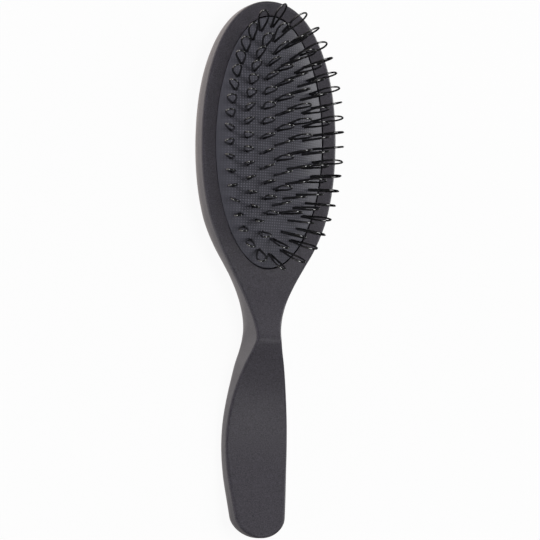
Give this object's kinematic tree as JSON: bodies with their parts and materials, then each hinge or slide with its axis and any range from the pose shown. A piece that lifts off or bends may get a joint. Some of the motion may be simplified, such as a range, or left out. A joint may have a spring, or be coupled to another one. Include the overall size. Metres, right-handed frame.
{
  "type": "scalp cushion brush",
  "caption": "Oval cushion brush for the scalp: moulded handle and head, domed rubber cushion and looped nylon bristles that give under pressure.",
  "frame": {"origin": "on the flat back, under the middle of the brush's length and width", "axes": "+Z the way the bristles point, +Y from the handle to the head, +X across"},
  "size_m": [0.066, 0.239, 0.0415],
  "materials": {
    "body": "soft-touch matte black, fine even grain",
    "cushion": "dull charcoal rubber with a fine moulded grid",
    "bristles": "glossy black nylon wire"
  },
  "bodies": {
    "handle": {"brush_body": "body", "cushion_flange": "cushion"},
    "cushion_outer": {"bristle_ring_outer": "bristles"},
    "cushion_middle": {"bristle_ring_middle": "bristles"},
    "cushion_inner": {"bristle_ring_inner": "bristles"},
    "cushion_centre": {"bristle_row_centre": "bristles"}
  },
  "joints": [
    {"name": "cushion_press", "type": "slide", "parent": "handle", "child": "cushion_centre", "axis": [0, 0, -1], "range_m": [0, 0.004], "stiffness_N_per_m": 1500, "springref_m": -0.0005},
    {"name": "cushion_press_inner", "type": "slide", "parent": "handle", "child": "cushion_inner", "axis": [0, 0, -1], "range_m": [0, 0.0038]},
    {"name": "cushion_press_middle", "type": "slide", "parent": "handle", "child": "cushion_middle", "axis": [0, 0, -1], "range_m": [0, 0.0029]},
    {"name": "cushion_press_outer", "type": "slide", "parent": "handle", "child": "cushion_outer", "axis": [0, 0, -1], "range_m": [0, 0.0016]}
  ],
  "couplings": [
    {"joint": "cushion_press_inner", "follows": "cushion_press", "ratio": 0.92},
    {"joint": "cushion_press_middle", "follows": "cushion_press", "ratio": 0.7},
    {"joint": "cushion_press_outer", "follows": "cushion_press", "ratio": 0.38}
  ]
}
